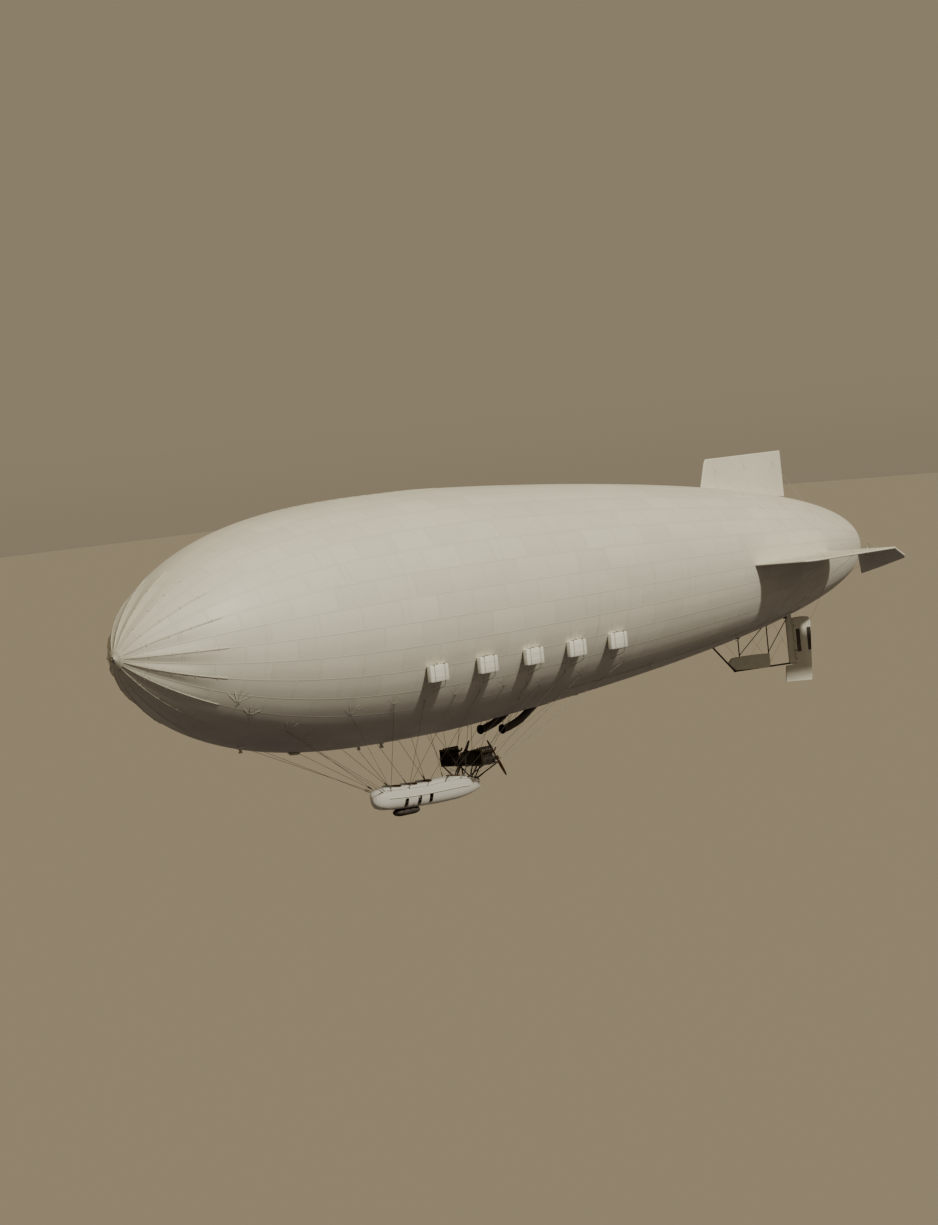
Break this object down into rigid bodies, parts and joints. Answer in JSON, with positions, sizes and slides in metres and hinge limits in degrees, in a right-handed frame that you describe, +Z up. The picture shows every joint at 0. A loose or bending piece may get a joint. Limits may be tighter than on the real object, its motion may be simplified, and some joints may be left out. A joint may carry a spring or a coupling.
{
  "type": "blimp, 1:2 scale model",
  "caption": "Non-rigid airship with open car, pusher engines, side fuel tanks, tail fins, rudder and drooping elevators, as a 1:2 scale model.",
  "frame": {"origin": "the centre of buoyancy, on the envelope's long axis 26.8 m real (13.4 m in the model) aft of the nose", "axes": "+X to the nose, +Y to port, +Z up"},
  "size_m": [30.295, 8.1, 8.3824],
  "materials": {
    "envelope_fabric": "doped cotton, faint sheen, darker seams",
    "fin_fabric": "doped linen over ribs",
    "scoop_canvas": "dark proofed canvas sleeve on hoops",
    "nose_wood": "battens sheathed in doped fabric",
    "car_paint": "satin cream paint",
    "tank_paint": "satin cream paint, wear at the straps",
    "valve_paint": "dull spun aluminium",
    "floor_wood": "oiled boards",
    "seat_leather": "worn brown leather",
    "windscreen_glass": "clear",
    "bumper_rubber": "matt rubbered canvas",
    "steel_tube": "dark enamel, chipped",
    "engine_metal": "oily dark metal",
    "radiator_brass": "tarnished brass",
    "propeller_wood": "varnished laminated wood",
    "steel_cable": "plain galvanised wire"
  },
  "bodies": {
    "airship": {"envelope": "envelope_fabric", "nose_cap": "nose_wood", "upper_fin": "fin_fabric", "port_stabiliser": "fin_fabric", "starboard_stabiliser": "fin_fabric", "lower_fin": "fin_fabric", "port_tank_1": "tank_paint", "port_tank_2": "tank_paint", "port_tank_3": "tank_paint", "port_tank_4": "tank_paint", "port_tank_5": "tank_paint", "starboard_tank_1": "tank_paint", "starboard_tank_2": "tank_paint", "starboard_tank_3": "tank_paint", "starboard_tank_4": "tank_paint", "starboard_tank_5": "tank_paint", "port_air_scoop": "scoop_canvas", "starboard_air_scoop": "scoop_canvas", "car_hull": "car_paint", "fore_deck": "car_paint", "aft_deck": "car_paint", "deck_panel_1": "car_paint", "deck_panel_2": "car_paint", "deck_panel_3": "car_paint", "port_deck_side": "car_paint", "starboard_deck_side": "car_paint", "car_floor": "floor_wood", "seat_1": "seat_leather", "seat_2": "seat_leather", "seat_3": "seat_leather", "seat_4": "seat_leather", "windscreen_1": "windscreen_glass", "windscreen_2": "windscreen_glass", "windscreen_3": "windscreen_glass", "bumper_bag": "bumper_rubber", "engine_mount": "steel_tube", "port_engine": "engine_metal", "port_radiator": "radiator_brass", "starboard_engine": "engine_metal", "starboard_radiator": "radiator_brass", "service_tank": "engine_metal", "port_stay_1": "steel_cable", "port_stay_2": "steel_cable", "port_stay_3": "steel_cable", "port_stay_4": "steel_cable", "starboard_stay_1": "steel_cable", "starboard_stay_2": "steel_cable", "starboard_stay_3": "steel_cable", "starboard_stay_4": "steel_cable", "forward_valve": "valve_paint", "aft_valve": "valve_paint"},
    "port_propeller": {"port_propeller": "propeller_wood"},
    "starboard_propeller": {"starboard_propeller": "propeller_wood"},
    "rudder": {"rudder": "fin_fabric"},
    "port_elevator": {"port_elevator": "fin_fabric"},
    "starboard_elevator": {"starboard_elevator": "fin_fabric"}
  },
  "joints": [
    {"name": "port_propeller_turn", "type": "hinge", "parent": "airship", "child": "port_propeller", "pos_m": [0.72, 0.6, -4.1], "axis": [1, 0, 0], "continuous": true},
    {"name": "starboard_propeller_turn", "type": "hinge", "parent": "airship", "child": "starboard_propeller", "pos_m": [0.72, -0.6, -4.1], "axis": [1, 0, 0], "continuous": true},
    {"name": "rudder_turn", "type": "hinge", "parent": "airship", "child": "rudder", "pos_m": [-13.57, 0, -2.6], "axis": [0, 0, 1], "range_deg": [-35, 35]},
    {"name": "port_elevator_tilt", "type": "hinge", "parent": "airship", "child": "port_elevator", "pos_m": [-13.4, 3.3, 0], "axis": [0, 1, 0], "range_deg": [-10, 65]},
    {"name": "starboard_elevator_tilt", "type": "hinge", "parent": "airship", "child": "starboard_elevator", "pos_m": [-13.4, -3.3, 0], "axis": [0, 1, 0], "range_deg": [-10, 65]}
  ],
  "couplings": [
    {"joint": "starboard_elevator_tilt", "follows": "port_elevator_tilt", "ratio": 1}
  ]
}
